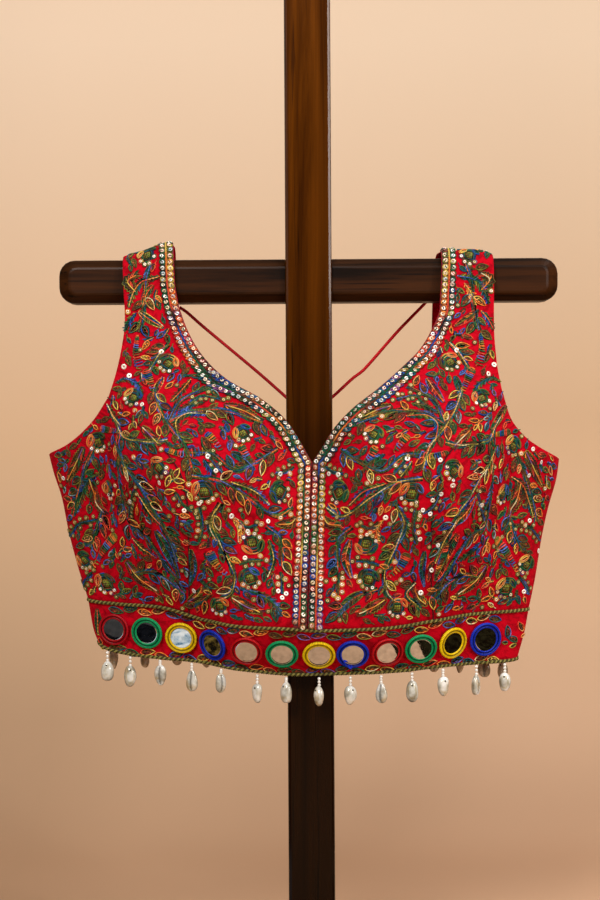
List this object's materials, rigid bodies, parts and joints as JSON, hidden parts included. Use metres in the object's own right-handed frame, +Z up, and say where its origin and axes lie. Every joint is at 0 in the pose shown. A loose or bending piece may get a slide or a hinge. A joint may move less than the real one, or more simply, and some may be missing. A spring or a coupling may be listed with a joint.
{
  "type": "choli blouse on a wooden cross stand",
  "caption": "Sleeveless embroidered choli blouse with a mirror-work band and a cowrie shell hem, hung by its straps on a wooden cross stand",
  "frame": {"origin": "centre of the underside of the stand's base, on the surface it stands on", "axes": "+Z up along the post, -Y the way the blouse's front faces, +X to the right as seen from the front"},
  "size_m": [0.4445, 0.3, 0.88],
  "materials": {
    "cloth": "bright red cotton silk, embroidered all over in many colours",
    "trim": "two rows of sequins edged with variegated thread",
    "rope": "twisted olive green rope",
    "shell": "glossy cream cowrie shells, for which glazed ceramic stands in, hung from a twisted olive rope",
    "yarn": "rings wound with thick yarn in maroon, green, yellow, blue and red",
    "looking_glass": "small round mirror glass",
    "dori": "thin dark red cord",
    "wood": "dark brown varnished wood with a high gloss"
  },
  "bodies": {
    "root": {"front_centre_left": "cloth", "front_centre_right": "cloth", "front_side_left": "cloth", "front_side_right": "cloth", "back": "cloth", "band_front": "cloth", "band_back": "cloth", "neck_trim_left": "trim", "neck_trim_right": "trim", "band_rope": "rope", "hem_fringe": "shell", "mirror_ring_01": "yarn", "mirror_ring_02": "yarn", "mirror_ring_03": "yarn", "mirror_ring_04": "yarn", "mirror_ring_05": "yarn", "mirror_ring_06": "yarn", "mirror_ring_07": "yarn", "mirror_ring_08": "yarn", "mirror_ring_09": "yarn", "mirror_ring_10": "yarn", "mirror_ring_11": "yarn", "mirror_ring_12": "yarn", "mirror_glass_01": "looking_glass", "mirror_glass_02": "looking_glass", "mirror_glass_03": "looking_glass", "mirror_glass_04": "looking_glass", "mirror_glass_05": "looking_glass", "mirror_glass_06": "looking_glass", "mirror_glass_07": "looking_glass", "mirror_glass_08": "looking_glass", "mirror_glass_09": "looking_glass", "mirror_glass_10": "looking_glass", "mirror_glass_11": "looking_glass", "mirror_glass_12": "looking_glass", "dori_left": "dori", "dori_right": "dori", "dori_knot": "dori", "stand_post": "wood", "stand_crossbar": "wood", "stand_base": "wood"}
  },
  "joints": []
}
